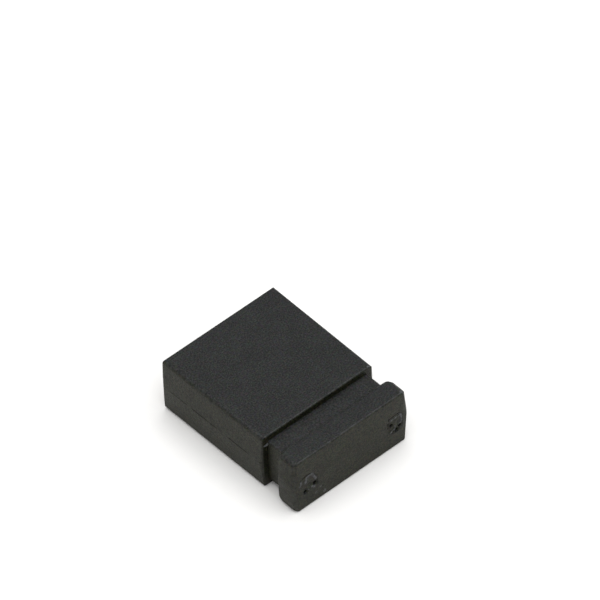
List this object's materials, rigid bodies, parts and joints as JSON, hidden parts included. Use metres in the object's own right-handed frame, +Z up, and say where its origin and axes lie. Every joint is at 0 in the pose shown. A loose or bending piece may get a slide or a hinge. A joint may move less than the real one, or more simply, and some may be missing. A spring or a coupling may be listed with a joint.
{
  "type": "jumper shunt",
  "caption": "Closed-end moulded jumper shunt with a waisted grip head; a folded gold contact inside bridges neighbouring header posts.",
  "frame": {"origin": "On the plane that the shunt rests on, under the middle of its overall box.", "axes": "+Z is up, out of the upper broad face. +Y points out of the mouth, the way the posts leave, and the grip head is at -Y. +X runs along the row of posts, across the shunt."},
  "size_m": [0.005, 0.0064, 0.0023],
  "materials": {
    "black_plastic": "charcoal black glass-filled thermoplastic, fine matte grain",
    "gold_contact": "gold-plated phosphor bronze sheet, smooth"
  },
  "bodies": {
    "root": {"housing": "black_plastic", "contact_clip": "gold_contact"}
  },
  "joints": []
}
